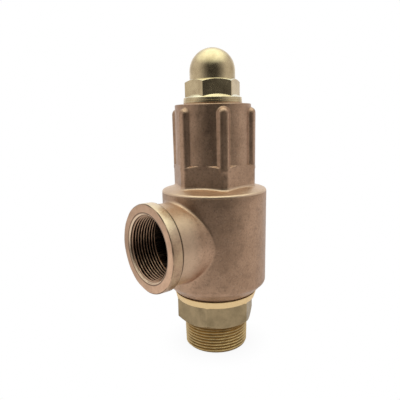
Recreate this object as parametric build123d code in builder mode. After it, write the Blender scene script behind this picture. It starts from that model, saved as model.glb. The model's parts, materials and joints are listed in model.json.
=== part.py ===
"""Angle pattern spring safety relief valve, screwed 1 1/2 in inlet and outlet, closed bonnet.

Millimetres, +Z up. The origin is the centre of the inlet thread's flat end.
The valve's axis is Z and the outlet points along -X.
"""
from build123d import *
import math
import os

# ---- driving dimensions -------------------------------------------------------------
PITCH = 2.309  # 11 threads per inch, British Standard Pipe
PIPE_MAJOR = 23.9  # 1 1/2 in pipe thread, crest radius of the male thread
PIPE_MINOR = 22.45  # and crest radius of the female thread
THREAD_DEPTH = PIPE_MAJOR - PIPE_MINOR
RUNNING = 0.06  # radial clearance of a shaft that slides or turns in its hole
SCREWED = 0.05  # radial clearance that stands for an assembled hidden thread

SEAT_Z = 66.0  # height of the seat face
BORE = 17.0  # inlet bore radius
SEAT_BORE = 16.0  # throat radius just under the seat
SEAT_OUTER = 19.0

HEX_Z = 20.7  # underside of the nozzle's hexagon
HEX_APOTHEM = 26.4
HEX_TURN = 37.5  # degrees from +X to one corner of the nozzle's hexagon
RING_Z = 38.0  # hexagon to coned round flange
RING_TOP = 43.2
RING_LOW_R = 29.7
RING_TOP_R = 31.3
NOZZLE_THREAD = 26.0

BODY_Z = 43.7  # underside of the body
BODY_TOP = 119.3  # joint between body and bonnet
BODY_FOOT_R = 30.7
BODY_LOW_R = 38.1
BODY_TOP_R = 38.8
CAVITY_R = 33.0
CAVITY_Z = 58.0
BONNET_THREAD = 34.5

OUTLET_Z = 85.8
OUTLET_FACE = 60.8  # outlet face to the valve's axis
HUB_R = 29.3
PASSAGE_R = 21.6  # plain bore behind the outlet's thread
THREAD_END = 40.0  # inner end of the outlet's thread, from the valve's axis
BAND_R = 31.25
BAND_WIDTH = 7.8

GUIDE_Z = 108.0
GUIDE_TOP = 112.0
GASKET = 1.0
STEM_R = 9.0  # sliding stem of the disc
NECKED_R = 14.0  # top of the disc's cone
SEAL_INNER = 14.3
SCREW_R = 3.0  # screw that holds the seal's retainer
SCREW_LENGTH = 12.0
SCREW_APOTHEM = 5.0
SCREW_HEAD = 4.0  # height of its hexagon head
SEAL_DEPTH = 3.0
RETAINER_Z = SEAT_Z - 1.2  # underside of the seal's retainer
BALL_R = 3.5
DISC_TOP = 81.0
GUIDE_HUB_Z = 90.0
GUIDE_HUB_R = 15.5
VENT_CIRCLE = 19.0  # six holes that vent the bonnet to the chamber
VENT_R = 1.5

SHOULDER_Z = 121.1  # where the bonnet's rim would meet its sloping shoulder without a rounding
SHOULDER_ROUNDING = 2.2
SHOULDER_FOOT_Z = 124.2  # foot of the bonnet's hexagon
LEDGE_Z = 139.9  # top of the bonnet's hexagon
LEDGE_SLOPE = 30.0  # degrees; the hexagon's top is coned as a nut's is
BONNET_APOTHEM = 27.5
BONNET_TURN = 4.1  # degrees from +X to one corner of the bonnet's hexagon
CORNER_R = 30.9  # the hexagon's corners and the ribs end at this radius
BARREL_R = 27.6
RIB_TOP = 180.6
RIB_WIDTH = 9.6
RIB_ROUNDING = 2.6
BONNET_TOP = 182.5
CHAMBER_R = 22.5
CHAMBER_TOP = 172.0
NECK_R = 14.8
NECK_TOP = 191.5

LOWER_PLATE_Z = 118.0
PLATE_R = 20.6  # rim of both spring plates
SPRING_Z = 124.0
SPRING_TOP = 163.0
SPRING_MEAN_R = 17.0
WIRE_R = 2.5
SPRING_TURNS = 5.0
UPPER_PLATE_TOP = 169.0
SPINDLE_R = 5.0
SPINDLE_TOP_R = 4.0
SPINDLE_FOOT = 89.0
RING_GROOVE_Z = 98.0  # groove of the spindle's retaining ring
COLLAR_Z = 115.4  # collar that carries the lower spring plate
COLLAR_R = 7.0
SPINDLE_TOP = 205.0
SPINDLE_STEP = 155.0  # top of the spindle's thick part; clears the adjusting screw at full lift

ADJUSTER_R = 8.0
ADJUSTER_TOP = 203.0
ADJUSTER_HEX = 3.5  # height of the hexagon that a spanner turns
ADJUSTER_APOTHEM = 6.5
ADJUSTER_TURN = 15.0
LOCKNUT_TOP = 198.5
LOCKNUT_APOTHEM = 11.0
LOCKNUT_TURN = 12.0

CAP_Z = 183.4
CAP_FLANGE_R = 21.3
CAP_HEX_Z = 189.1  # where the middle of a flat meets the coned top of the flange
CAP_HEX_TOP = 199.7
CAP_APOTHEM = 17.5
CAP_TURN = 30.0
DOME_R = 16.35
DOME_CENTRE = 205.8
CAP_WALL = 2.6

BEVEL_ANGLE = 30.0  # bevel of hexagon corners, degrees from the flat end


# ---- helpers ------------------------------------------------------------------------
def section(points, rounds=()):
    """A closed outline in the XZ plane; rounds lists (corner point, radius) pairs."""
    with BuildSketch(Plane.XZ) as outline:
        with BuildLine():
            Polyline(*points, close=True)
        make_face()
        for (x, z), radius in rounds:
            corner = outline.vertices().sort_by_distance(Vector(x, z))[0]
            fillet(corner, radius)
    return outline.sketch


def tube_section(inner, outer, low, high):
    return section([(inner, low), (outer, low), (outer, high), (inner, high)])


def hexagon(apothem, turn):
    with BuildSketch() as outline:
        RegularPolygon(apothem, 6, major_radius=False, rotation=turn)
    return outline.sketch


def bevelled_hexagon(apothem, turn, low, high, bevel_low, bevel_high):
    """A hexagonal prism whose corners are bevelled by a cone at the ends asked for."""
    corner = apothem / math.cos(math.pi / 6)
    start = apothem - 0.4
    drop = (corner + 1 - start) * math.tan(math.radians(BEVEL_ANGLE))
    points = [(0, low)]
    points += [(start, low), (corner + 1, low + drop)] if bevel_low else [(corner + 1, low)]
    points += [(corner + 1, high - drop), (start, high)] if bevel_high else [(corner + 1, high)]
    points += [(0, high)]
    with BuildPart() as prism:
        with BuildSketch(Plane.XY.offset(low)):
            add(hexagon(apothem, turn))
        extrude(amount=high - low)
        revolve(section(points), axis=Axis.Z, mode=Mode.INTERSECT)
    return prism.part


def thread_grooves(places, depth, turn):
    """Ring grooves of a pipe thread; each is open towards +X of the sketch before its turn."""
    mouth = PITCH / 2 - 0.3
    root = 0.2
    with BuildSketch(Plane.XZ) as grooves:
        with Locations(*places):
            Polygon((1, mouth), (0, mouth), (-depth, root), (-depth, -root), (0, -mouth), (1, -mouth),
                    rotation=turn, align=None)
    return grooves.sketch


def bonnet_hexagon():
    """The bonnet's hexagon, its corners turned down to a circle and its top coned."""
    low = BODY_TOP + 1
    brim = CORNER_R + 1
    drop = (brim - BARREL_R) * math.tan(math.radians(LEDGE_SLOPE))
    with BuildPart() as prism:
        with BuildSketch(Plane.XY.offset(low)) as outline:
            add(hexagon(BONNET_APOTHEM, BONNET_TURN))
            Circle(CORNER_R, mode=Mode.INTERSECT)
            fillet(outline.vertices(), 0.8)
        extrude(amount=LEDGE_Z - low)
        cone = [(0, low), (brim, low), (brim, LEDGE_Z - drop), (BARREL_R, LEDGE_Z), (0, LEDGE_Z)]
        revolve(section(cone), axis=Axis.Z, mode=Mode.INTERSECT)
    return prism.part


def bonnet_ribs():
    """Six ribs that carry the hexagon's corners up the barrel and slope in at their tops."""
    low = LEDGE_Z - 4
    shoulder = RIB_TOP - 3.2
    with BuildPart() as ribs:
        with BuildSketch(Plane.XY.offset(low)):
            for turn in (0, 60, 120):
                RectangleRounded(2 * CORNER_R - 0.1, RIB_WIDTH, RIB_ROUNDING, rotation=BONNET_TURN + turn)
        extrude(amount=RIB_TOP - low)
        top = [(0, low), (CORNER_R + 1, low), (CORNER_R + 1, shoulder), (CORNER_R - 0.4, shoulder),
               (BARREL_R - 0.2, RIB_TOP), (0, RIB_TOP)]
        revolve(section(top, rounds=[((CORNER_R - 0.4, shoulder), 2.0)]), axis=Axis.Z, mode=Mode.INTERSECT)
    return ribs.part


os.makedirs("parts", exist_ok=True)


def save(piece, label):
    piece.label = label
    export_step(piece, "parts/" + label + ".step")
    print(label, round(piece.volume / 1000, 2), "cm3")


# ---- body casting -------------------------------------------------------------------
outlet_axis = Axis((0, 0, OUTLET_Z), (-1, 0, 0))
toward_outlet = Plane(origin=(0, 0, OUTLET_Z), x_dir=(0, 1, 0), z_dir=(-1, 0, 0))
foot_rise = BODY_LOW_R - BODY_FOOT_R

with BuildPart() as body:
    revolve(
        section(
            [(0, BODY_Z), (BODY_FOOT_R, BODY_Z), (BODY_LOW_R, BODY_Z + foot_rise),
             (BODY_TOP_R, BODY_TOP), (0, BODY_TOP)],
            rounds=[((BODY_FOOT_R, BODY_Z), 0.4), ((BODY_LOW_R, BODY_Z + foot_rise), 4.0),
                    ((BODY_TOP_R, BODY_TOP), 0.3)],
        ),
        axis=Axis.Z,
    )
    with BuildSketch(toward_outlet):
        Circle(HUB_R)
    extrude(amount=OUTLET_FACE - BAND_WIDTH)
    saddle = body.edges(Select.LAST).filter_by(
        lambda e: e.geom_type not in (GeomType.CIRCLE, GeomType.LINE)
    )
    fillet(saddle, 2.5)
    with BuildSketch(toward_outlet.offset(OUTLET_FACE - BAND_WIDTH)):
        Circle(BAND_R)
    extrude(amount=BAND_WIDTH)
    band_rims = body.edges().filter_by(GeomType.CIRCLE).filter_by(lambda e: abs(e.radius - BAND_R) < 0.01)
    chamfer(band_rims, 0.9)
    # the chamber that joins the seat, the outlet and the bonnet
    revolve(
        section(
            [(0, CAVITY_Z), (CAVITY_R, CAVITY_Z), (CAVITY_R, GUIDE_Z),
             (BONNET_THREAD, GUIDE_Z), (BONNET_THREAD, BODY_TOP), (0, BODY_TOP)],
            rounds=[((CAVITY_R, CAVITY_Z), 6.0)],
        ),
        axis=Axis.Z,
        mode=Mode.SUBTRACT,
    )
    with BuildSketch(Plane.XY.offset(BODY_Z)):
        Circle(NOZZLE_THREAD + SCREWED)
    extrude(amount=CAVITY_Z - BODY_Z, mode=Mode.SUBTRACT)
    # the outlet's female pipe thread, with a bevelled mouth
    with BuildSketch(toward_outlet):
        Circle(PASSAGE_R)
    extrude(amount=OUTLET_FACE, mode=Mode.SUBTRACT)
    with BuildSketch(toward_outlet.offset(THREAD_END)):
        Circle(PIPE_MINOR)
    extrude(amount=OUTLET_FACE - THREAD_END, mode=Mode.SUBTRACT)
    outlet_grooves = [(-(OUTLET_FACE - 3.2 - i * PITCH), OUTLET_Z + PIPE_MINOR) for i in range(8)]
    revolve(thread_grooves(outlet_grooves, THREAD_DEPTH, -90), axis=outlet_axis, mode=Mode.SUBTRACT)
    mouth = [(-OUTLET_FACE - 1, OUTLET_Z), (-OUTLET_FACE - 1, OUTLET_Z + PIPE_MAJOR + 1.5),
             (-OUTLET_FACE + 2.0, OUTLET_Z + PIPE_MINOR - 0.4), (-OUTLET_FACE + 2.0, OUTLET_Z)]
    revolve(section(mouth), axis=outlet_axis, mode=Mode.SUBTRACT)
save(body.part, "body")

# ---- inlet nozzle, turned from hexagon bar --------------------------------------------
with BuildPart() as nozzle:
    revolve(
        section(
            [(BORE, 0), (PIPE_MAJOR - 1, 0), (PIPE_MAJOR, 1), (PIPE_MAJOR, HEX_Z - 2.4),
             (PIPE_MINOR, HEX_Z - 1.6), (PIPE_MINOR, HEX_Z), (HEX_APOTHEM - 1, HEX_Z),
             (HEX_APOTHEM - 1, RING_Z), (RING_LOW_R, RING_Z), (RING_TOP_R, RING_TOP),
             (NOZZLE_THREAD - 1.6, RING_TOP), (NOZZLE_THREAD - 1.6, BODY_Z + 1.5),
             (NOZZLE_THREAD, BODY_Z + 2.6), (NOZZLE_THREAD, CAVITY_Z - 2),
             (NOZZLE_THREAD - 1.4, CAVITY_Z - 0.6), (SEAT_OUTER + 3, CAVITY_Z - 0.6),
             (SEAT_OUTER, SEAT_Z - 2.5), (SEAT_OUTER, SEAT_Z), (SEAT_BORE, SEAT_Z),
             (SEAT_BORE, SEAT_Z - 6), (BORE, SEAT_Z - 16)],
            rounds=[((RING_LOW_R, RING_Z), 0.3), ((RING_TOP_R, RING_TOP), 0.3)],
        ),
        axis=Axis.Z,
    )
    add(bevelled_hexagon(HEX_APOTHEM, HEX_TURN, HEX_Z, RING_Z + 0.5, True, False))
    with BuildSketch(Plane.XY.offset(HEX_Z)):
        Circle(BORE)
    extrude(amount=RING_Z + 0.5 - HEX_Z, mode=Mode.SUBTRACT)
    inlet_grooves = [(PIPE_MAJOR, 4.15 + i * PITCH) for i in range(6)]
    revolve(thread_grooves(inlet_grooves, THREAD_DEPTH, 0), axis=Axis.Z, mode=Mode.SUBTRACT)
save(nozzle.part, "inlet_nozzle")

with BuildPart() as nozzle_gasket:
    revolve(tube_section(NOZZLE_THREAD - 1.5, RING_LOW_R - 0.6, RING_TOP, BODY_Z), axis=Axis.Z)
save(nozzle_gasket.part, "nozzle_gasket")

# ---- guide plate clamped between body and bonnet ---------------------------------------
with BuildPart() as disc_guide:
    revolve(
        section(
            [(STEM_R + RUNNING, GUIDE_HUB_Z), (GUIDE_HUB_R - 1.5, GUIDE_HUB_Z), (GUIDE_HUB_R, GUIDE_Z),
             (BONNET_THREAD - 0.2, GUIDE_Z), (BONNET_THREAD - 0.2, GUIDE_TOP),
             (STEM_R + RUNNING, GUIDE_TOP)],
            rounds=[((GUIDE_HUB_R, GUIDE_Z), 2.0)],
        ),
        axis=Axis.Z,
    )
    with PolarLocations(VENT_CIRCLE, 6):
        Hole(VENT_R)
save(disc_guide.part, "disc_guide")

with BuildPart() as bonnet_gasket:
    revolve(tube_section(CAVITY_R - 4, BONNET_THREAD - 0.3, GUIDE_TOP, GUIDE_TOP + GASKET), axis=Axis.Z)
save(bonnet_gasket.part, "bonnet_gasket")

# ---- bonnet casting: shoulder flange, hexagon, ribbed barrel and threaded neck ----------
spigot_z = GUIDE_TOP + GASKET
with BuildPart() as bonnet:
    revolve(
        section(
            [(0, spigot_z), (BONNET_THREAD - SCREWED, spigot_z), (BONNET_THREAD - SCREWED, BODY_TOP),
             (BODY_TOP_R, BODY_TOP), (BODY_TOP_R, SHOULDER_Z), (BARREL_R, SHOULDER_FOOT_Z),
             (BARREL_R, BONNET_TOP), (NECK_R, BONNET_TOP), (NECK_R, NECK_TOP), (0, NECK_TOP)],
            rounds=[((BODY_TOP_R, SHOULDER_Z), SHOULDER_ROUNDING),
                    ((BARREL_R, BONNET_TOP), 1.0), ((NECK_R, NECK_TOP), 0.8)],
        ),
        axis=Axis.Z,
    )
    add(bonnet_hexagon())
    add(bonnet_ribs())
    # the spring chamber and the adjusting screw's hole
    revolve(
        section(
            [(0, spigot_z), (CHAMBER_R, spigot_z), (CHAMBER_R, CHAMBER_TOP),
             (ADJUSTER_R + SCREWED, CHAMBER_TOP), (ADJUSTER_R + SCREWED, NECK_TOP), (0, NECK_TOP)],
            rounds=[((CHAMBER_R, CHAMBER_TOP), 3.0)],
        ),
        axis=Axis.Z,
        mode=Mode.SUBTRACT,
    )
save(bonnet.part, "bonnet")

# ---- disc: holder, soft seal, retainer and its screw -----------------------------------
with BuildPart() as disc:
    revolve(
        section(
            [(0, SEAT_Z + 1), (SEAL_INNER - 0.1, SEAT_Z + 1), (SEAL_INNER - 0.1, SEAT_Z + SEAL_DEPTH),
             (SEAT_OUTER + 1, SEAT_Z + SEAL_DEPTH),
             (SEAT_OUTER + 1, SEAT_Z - 0.5), (SEAT_OUTER + 2.2, SEAT_Z - 2), (SEAT_OUTER + 4, SEAT_Z - 2),
             (SEAT_OUTER + 4, SEAT_Z + 6), (NECKED_R, DISC_TOP), (STEM_R, DISC_TOP),
             (STEM_R, GUIDE_TOP + 2), (0, GUIDE_TOP + 2)],
            rounds=[((SEAT_OUTER + 4, SEAT_Z + 6), 2.0), ((NECKED_R, DISC_TOP), 1.0)],
        ),
        axis=Axis.Z,
    )
    with BuildSketch(Plane.XY.offset(SPINDLE_FOOT - 4)):
        Circle(SPINDLE_R + 0.35)
    extrude(amount=GUIDE_TOP + 6 - SPINDLE_FOOT, mode=Mode.SUBTRACT)
    # ring groove of the spindle's retaining ring, and the screw's hole
    ring_groove = tube_section(SPINDLE_R, SPINDLE_R + 1.6, RING_GROOVE_Z, RING_GROOVE_Z + 1.4)
    revolve(ring_groove, axis=Axis.Z, mode=Mode.SUBTRACT)
    with BuildSketch(Plane.XY.offset(SEAT_Z + 1)):
        Circle(SCREW_R)
    extrude(amount=SCREW_LENGTH, mode=Mode.SUBTRACT)
save(disc.part, "disc_holder")

with BuildPart() as disc_seal:
    revolve(tube_section(SEAL_INNER, SEAT_OUTER + 0.9, SEAT_Z, SEAT_Z + SEAL_DEPTH), axis=Axis.Z)
save(disc_seal.part, "disc_seal")

with BuildPart() as seal_retainer:
    revolve(
        section([(SCREW_R + 0.2, RETAINER_Z), (SEAL_INNER - 0.9, RETAINER_Z),
                 (SEAL_INNER + 0.9, SEAT_Z - 0.1), (SEAL_INNER + 0.9, SEAT_Z - 0.02),
                 (SEAL_INNER - 0.2, SEAT_Z), (SEAL_INNER - 0.2, SEAT_Z + 1), (SCREW_R + 0.2, SEAT_Z + 1)]),
        axis=Axis.Z,
    )
save(seal_retainer.part, "seal_retainer")

with BuildPart() as retainer_screw:
    add(bevelled_hexagon(SCREW_APOTHEM, 0, RETAINER_Z - SCREW_HEAD, RETAINER_Z, True, False))
    with BuildSketch(Plane.XY.offset(RETAINER_Z)):
        Circle(SCREW_R - SCREWED)
    extrude(amount=SCREW_LENGTH)
save(retainer_screw.part, "retainer_screw")

# ---- spindle and what rides on it ------------------------------------------------------
with BuildPart() as thrust_ball:
    with Locations((0, 0, SPINDLE_FOOT - 0.5)):
        Sphere(BALL_R)
save(thrust_ball.part, "thrust_ball")

with BuildPart() as spindle:
    revolve(
        section(
            [(0, SPINDLE_FOOT - 0.5), (SPINDLE_R, SPINDLE_FOOT - 0.5), (SPINDLE_R, RING_GROOVE_Z - 0.3),
             (SPINDLE_R - 1.1, RING_GROOVE_Z - 0.3), (SPINDLE_R - 1.1, RING_GROOVE_Z + 1.7),
             (SPINDLE_R, RING_GROOVE_Z + 1.7), (SPINDLE_R, COLLAR_Z),
             (COLLAR_R, COLLAR_Z), (COLLAR_R, LOWER_PLATE_Z),
             (SPINDLE_R, LOWER_PLATE_Z), (SPINDLE_R, SPINDLE_STEP - 1),
             (SPINDLE_TOP_R, SPINDLE_STEP), (SPINDLE_TOP_R, SPINDLE_TOP), (0, SPINDLE_TOP)],
            rounds=[((SPINDLE_TOP_R, SPINDLE_TOP), 1.2)],
        ),
        axis=Axis.Z,
    )
    with Locations((0, 0, SPINDLE_FOOT - 0.5)):
        Sphere(BALL_R + SCREWED, mode=Mode.SUBTRACT)
save(spindle.part, "spindle")

with BuildPart() as retaining_ring:
    wire = tube_section(SPINDLE_R - 1.0, SPINDLE_R + 1.5, RING_GROOVE_Z + 0.05, RING_GROOVE_Z + 1.35)
    revolve(wire, axis=Axis.Z)
    with BuildSketch(Plane.XY.offset(RING_GROOVE_Z)):
        with Locations((6, 0)):
            Rectangle(6, 3)
    extrude(amount=2, mode=Mode.SUBTRACT)
save(retaining_ring.part, "retaining_ring")

plate_spigot = SPRING_MEAN_R - WIRE_R - 0.4  # spigots that centre the spring on its plates
with BuildPart() as lower_plate:
    revolve(
        section(
            [(SPINDLE_R + 0.1, LOWER_PLATE_Z), (9, LOWER_PLATE_Z),
             (PLATE_R, SPRING_Z - 2.5), (PLATE_R, SPRING_Z),
             (plate_spigot, SPRING_Z), (plate_spigot, SPRING_Z + 4), (SPINDLE_R + 0.1, SPRING_Z + 4)],
            rounds=[((plate_spigot, SPRING_Z + 4), 1.2), ((PLATE_R, SPRING_Z), 0.6)],
        ),
        axis=Axis.Z,
    )
save(lower_plate.part, "lower_spring_plate")

with BuildPart() as upper_plate:
    revolve(
        section(
            [(SPINDLE_R + 0.6, SPRING_TOP - 4), (plate_spigot, SPRING_TOP - 4), (plate_spigot, SPRING_TOP),
             (PLATE_R, SPRING_TOP), (PLATE_R, SPRING_TOP + 2.5), (9.5, UPPER_PLATE_TOP),
             (SPINDLE_R + 0.6, UPPER_PLATE_TOP)],
            rounds=[((plate_spigot, SPRING_TOP - 4), 1.2), ((PLATE_R, SPRING_TOP), 0.6)],
        ),
        axis=Axis.Z,
    )
save(upper_plate.part, "upper_spring_plate")

coil_low = SPRING_Z + WIRE_R
coil_height = SPRING_TOP - SPRING_Z - 2 * WIRE_R
with BuildPart() as spring:
    with BuildLine(Plane.XY.offset(coil_low)):
        coil = Helix(pitch=coil_height / SPRING_TURNS, height=coil_height, radius=SPRING_MEAN_R)
    with BuildSketch(Plane(origin=coil @ 0, z_dir=coil % 0)):
        Circle(WIRE_R)
    sweep(is_frenet=True)
save(spring.part, "spring")

# ---- adjusting screw and locknut --------------------------------------------------------
with BuildPart() as adjusting_screw:
    revolve(
        section(
            [(SPINDLE_TOP_R + RUNNING, UPPER_PLATE_TOP), (ADJUSTER_R - 1.2, UPPER_PLATE_TOP),
             (ADJUSTER_R, UPPER_PLATE_TOP + 1.2),
             (ADJUSTER_R, ADJUSTER_TOP - ADJUSTER_HEX - 1), (ADJUSTER_R - 1, ADJUSTER_TOP - ADJUSTER_HEX),
             (SPINDLE_TOP_R + RUNNING, ADJUSTER_TOP - ADJUSTER_HEX)]
        ),
        axis=Axis.Z,
    )
    hex_low = ADJUSTER_TOP - ADJUSTER_HEX - 0.1
    add(bevelled_hexagon(ADJUSTER_APOTHEM, ADJUSTER_TURN, hex_low, ADJUSTER_TOP, False, True))
    with BuildSketch(Plane.XY.offset(hex_low)):
        Circle(SPINDLE_TOP_R + RUNNING)
    extrude(amount=ADJUSTER_TOP - hex_low, mode=Mode.SUBTRACT)
save(adjusting_screw.part, "adjusting_screw")

with BuildPart() as locknut:
    add(bevelled_hexagon(LOCKNUT_APOTHEM, LOCKNUT_TURN, NECK_TOP, LOCKNUT_TOP, True, True))
    with BuildSketch(Plane.XY.offset(NECK_TOP)):
        Circle(ADJUSTER_R + SCREWED)
    extrude(amount=LOCKNUT_TOP - NECK_TOP, mode=Mode.SUBTRACT)
save(locknut.part, "locknut")

# ---- domed cap and its gasket ------------------------------------------------------------
inner_dome = DOME_R - CAP_WALL
cap_brim = CAP_FLANGE_R - 0.35
cap_slope = math.tan(math.radians(BEVEL_ANGLE))
brim_z = CAP_HEX_Z - (cap_brim - CAP_APOTHEM) * cap_slope
with BuildPart() as cap:
    revolve(
        section(
            [(0, CAP_Z), (CAP_FLANGE_R, CAP_Z), (cap_brim, brim_z),
             (DOME_R, CAP_HEX_Z + (CAP_APOTHEM - DOME_R) * cap_slope), (DOME_R, DOME_CENTRE),
             (0, DOME_CENTRE)],
            rounds=[((CAP_FLANGE_R, CAP_Z), 0.3), ((cap_brim, brim_z), 0.3)],
        ),
        axis=Axis.Z,
    )
    add(bevelled_hexagon(CAP_APOTHEM, CAP_TURN, brim_z, CAP_HEX_TOP, False, True))
    with Locations((0, 0, DOME_CENTRE)):
        Sphere(DOME_R)
    with BuildSketch(Plane.XY.offset(CAP_Z)):
        Circle(NECK_R + SCREWED)
    extrude(amount=NECK_TOP + 1.5 - CAP_Z, mode=Mode.SUBTRACT)
    with BuildSketch(Plane.XY.offset(NECK_TOP + 1.5)):
        Circle(inner_dome)
    extrude(amount=DOME_CENTRE - NECK_TOP - 1.5, mode=Mode.SUBTRACT)
    with Locations((0, 0, DOME_CENTRE)):
        Sphere(inner_dome, mode=Mode.SUBTRACT)
save(cap.part, "cap")

with BuildPart() as cap_gasket:
    revolve(tube_section(NECK_R + 0.4, CAP_FLANGE_R - 0.3, BONNET_TOP, CAP_Z), axis=Axis.Z)
save(cap_gasket.part, "cap_gasket")
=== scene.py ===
import json
import math

import bmesh
import bpy
from mathutils import Matrix, Vector


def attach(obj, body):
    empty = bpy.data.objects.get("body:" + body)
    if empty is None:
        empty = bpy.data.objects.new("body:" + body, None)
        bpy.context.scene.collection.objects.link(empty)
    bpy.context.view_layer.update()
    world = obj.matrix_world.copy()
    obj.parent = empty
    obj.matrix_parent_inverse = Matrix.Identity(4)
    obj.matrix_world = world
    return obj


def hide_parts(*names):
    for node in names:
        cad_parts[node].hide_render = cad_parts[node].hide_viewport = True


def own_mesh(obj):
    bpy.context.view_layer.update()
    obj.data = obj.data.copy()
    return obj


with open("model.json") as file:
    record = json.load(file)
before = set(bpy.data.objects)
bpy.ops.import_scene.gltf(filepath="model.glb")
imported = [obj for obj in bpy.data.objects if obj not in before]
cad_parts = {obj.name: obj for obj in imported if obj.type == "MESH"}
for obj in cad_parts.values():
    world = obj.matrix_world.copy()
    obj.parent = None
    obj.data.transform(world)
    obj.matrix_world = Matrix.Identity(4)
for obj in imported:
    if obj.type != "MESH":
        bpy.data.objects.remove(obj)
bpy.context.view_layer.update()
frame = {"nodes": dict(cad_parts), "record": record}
nodes = frame["nodes"]
MM = 0.001

# ---- camera: a short telephoto a third of a metre away, looking a little down ----------
CAMERA_TURN = 38.5  # degrees, seen from above, between the outlet's axis and the picture plane
CAMERA_AWAY = 333.5 * MM
CAMERA_ASIDE = -10.7 * MM
CAMERA_HEIGHT = 171.5 * MM
CAMERA_DOWN = 10.06
CAMERA_ROLL = -1.21
CAMERA_LENS = 40.5


def make_camera():
    """Sets the camera and returns the level direction from the valve towards it."""
    turn = Matrix.Rotation(math.radians(-CAMERA_TURN), 3, "Z")
    down = math.radians(CAMERA_DOWN)
    forward = turn @ Vector((0, math.cos(down), -math.sin(down)))
    right = turn @ Vector((1, 0, 0))
    up = right.cross(forward)
    roll = math.radians(CAMERA_ROLL)
    across = right * math.cos(roll) + up * math.sin(roll)
    above = up * math.cos(roll) - right * math.sin(roll)
    place = turn @ Vector((CAMERA_ASIDE, -CAMERA_AWAY, CAMERA_HEIGHT))
    data = bpy.data.cameras.new("camera")
    data.lens = CAMERA_LENS
    data.sensor_width = 36
    camera = bpy.data.objects.new("camera", data)
    basis = Matrix((across, above, -forward)).transposed()
    camera.matrix_world = Matrix.Translation(place) @ basis.to_4x4()
    bpy.context.scene.collection.objects.link(camera)
    bpy.context.scene.camera = camera
    return turn @ Vector((0, -1, 0))


toward_camera = make_camera()


# ---- mesh tools --------------------------------------------------------------------------
def rounded(corners, steps=4):
    """An open or closed outline of (radius, height, rounding) corners, with an arc at each rounded one."""
    points = []
    count = len(corners)
    for i, (r, z, rounding) in enumerate(corners):
        here = Vector((r, z))
        if rounding <= 0:
            points.append(here)
            continue
        before = (Vector(corners[i - 1][:2]) - here).normalized()
        after = (Vector(corners[(i + 1) % count][:2]) - here).normalized()
        half = before.angle(after) / 2
        reach = rounding / math.tan(half)
        centre = here + (before + after).normalized() * (rounding / math.sin(half))
        start = here + before * reach - centre
        end = here + after * reach - centre
        whole = start.angle(end)
        for k in range(steps + 1):
            share = k / steps
            weight_a = math.sin((1 - share) * whole) / math.sin(whole)
            weight_b = math.sin(share * whole) / math.sin(whole)
            points.append(centre + start * weight_a + end * weight_b)
    return [(p.x, p.y) for p in points]


def loft(name, angles, outline):
    """A closed mesh round Z: outline(angle) gives the section's (radius, height) points in millimetres."""
    rings = [outline(a) for a in angles]
    rows = len(rings[0])
    columns = len(rings)
    verts = [(r * math.cos(a) * MM, r * math.sin(a) * MM, z * MM)
             for a, ring in zip(angles, rings) for r, z in ring]
    faces = []
    for i in range(columns):
        j = (i + 1) % columns
        for k in range(rows):
            m = (k + 1) % rows
            faces.append((i * rows + k, j * rows + k, j * rows + m, i * rows + m))
    mesh = bpy.data.meshes.new(name)
    mesh.from_pydata(verts, [], faces)
    clean(mesh)
    piece = bpy.data.objects.new(name, mesh)
    smooth(piece)
    bpy.context.scene.collection.objects.link(piece)
    return piece


def smooth(piece, sharp=32):
    """Smooth shading, except at edges sharper than an angle in degrees."""
    piece.data.shade_smooth()
    piece.data.set_sharp_from_angle(angle=math.radians(sharp))


def clean(mesh):
    """Merges the points that meet at a pole and turns the faces outwards."""
    work = bmesh.new()
    work.from_mesh(mesh)
    bmesh.ops.remove_doubles(work, verts=work.verts, dist=1e-7)
    bmesh.ops.dissolve_degenerate(work, edges=work.edges, dist=1e-7)
    loose = [e for e in work.edges if not e.link_faces]
    bmesh.ops.delete(work, geom=loose, context="EDGES")
    bmesh.ops.recalc_face_normals(work, faces=work.faces)
    work.to_mesh(mesh)
    work.free()


def even_angles(count, corners=(), width=0.0):
    """Evenly spaced angles, with a few more beside each corner angle."""
    base = [2 * math.pi * i / count for i in range(count)]
    near = [c + width * k for c in corners for k in (-1, -0.5, 0, 0.5, 1)]
    keep = [a for a in base if all(abs(wrap(a - c)) > width * 1.3 for c in corners)]
    return sorted(keep + [a % (2 * math.pi) for a in near])


def wrap(angle):
    return (angle + math.pi) % (2 * math.pi) - math.pi


def hexagon(angle, apothem, turn, rounding):
    """Distance from the centre to a hexagon's side at an angle, its corners rounded."""
    off = abs(wrap(6 * (angle - turn)) / 6)
    centre = (apothem - rounding) / math.cos(math.pi / 6)
    tangent = math.atan2(rounding / 2, centre + rounding * math.cos(math.pi / 6))
    if off > tangent:
        return apothem / math.cos(math.pi / 6 - off)
    return centre * math.cos(off) + math.sqrt(rounding ** 2 - (centre * math.sin(off)) ** 2)


THREAD_FLAT = 0.12  # share of half a turn that is flat at the root, and as much at the crest
THREAD_ROUNDING = 0.35  # how far a flank is rounded, from 0 for straight to 1


def pipe_thread(phase, pitch, depth):
    """How far a point lies below the thread's crest; phase is the height along the axis minus the helix's."""
    turn = abs(2 * ((phase / pitch) % 1.0) - 1)  # 1 at a crest, 0 at a root
    flank = min(max((turn - THREAD_FLAT) / (1 - 2 * THREAD_FLAT), 0.0), 1.0)
    curve = flank * flank * (3 - 2 * flank)
    return depth * (1 - curve * THREAD_ROUNDING - flank * (1 - THREAD_ROUNDING))


def helix(angle, pitch):
    """How far a right-hand thread has climbed at an angle."""
    return pitch * angle / (2 * math.pi)


def heights(start, stop, step):
    """Heights a step apart, from start up to stop."""
    z = start
    while z < stop:
        yield z
        z += step


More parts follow.
